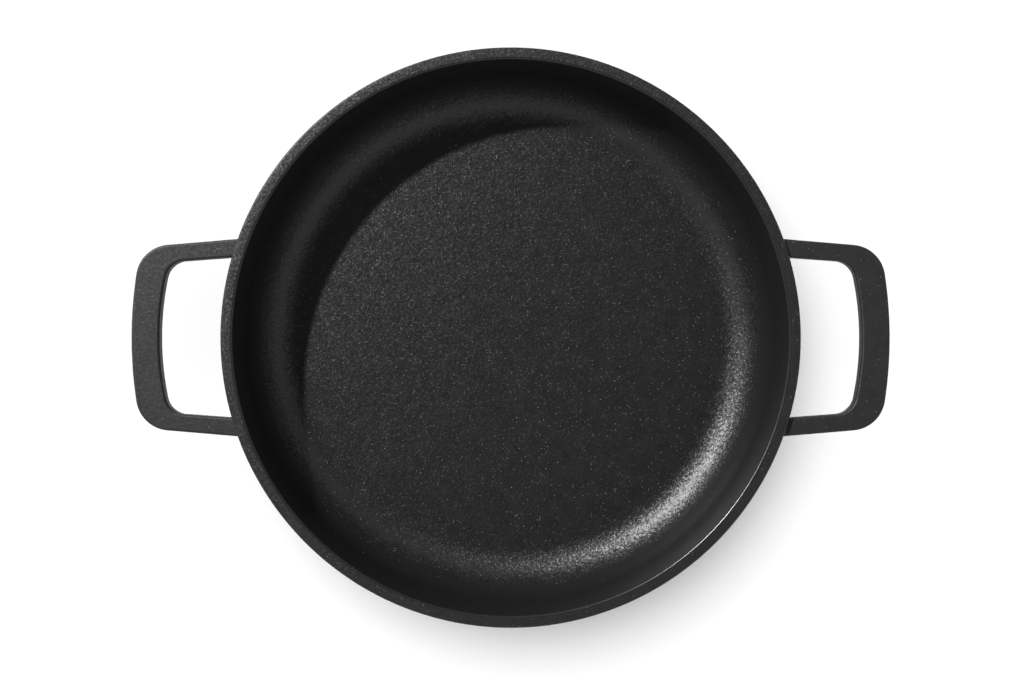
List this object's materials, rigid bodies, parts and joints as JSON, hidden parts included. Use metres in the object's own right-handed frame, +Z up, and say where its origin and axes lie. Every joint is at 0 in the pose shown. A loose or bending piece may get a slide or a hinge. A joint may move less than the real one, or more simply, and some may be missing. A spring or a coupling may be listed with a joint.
{
  "type": "two-handled pan",
  "caption": "Low round cast pan with a leaning wall, flat rim, a flat loop handle on each side, and a perforated steel disc set into the underside.",
  "frame": {"origin": "centre of the pan, on the plane that the foot ring stands on", "axes": "+X along the two handles, +Z up through the middle of the pan, out of its mouth"},
  "size_m": [0.3844, 0.2922, 0.047],
  "materials": {
    "coated_aluminium": "cast aluminium under a charcoal black non-stick coating with fine pale speckles",
    "base_steel": "ferritic stainless steel, turned in fine rings",
    "fastener_steel": "stainless steel, satin"
  },
  "bodies": {
    "root": {"pan_body": "coated_aluminium", "left_handle": "coated_aluminium", "right_handle": "coated_aluminium", "induction_plate": "base_steel", "left_front_screw": "fastener_steel", "left_rear_screw": "fastener_steel", "right_front_screw": "fastener_steel", "right_rear_screw": "fastener_steel", "left_front_washer": "fastener_steel", "left_rear_washer": "fastener_steel", "right_front_washer": "fastener_steel", "right_rear_washer": "fastener_steel"}
  },
  "joints": []
}
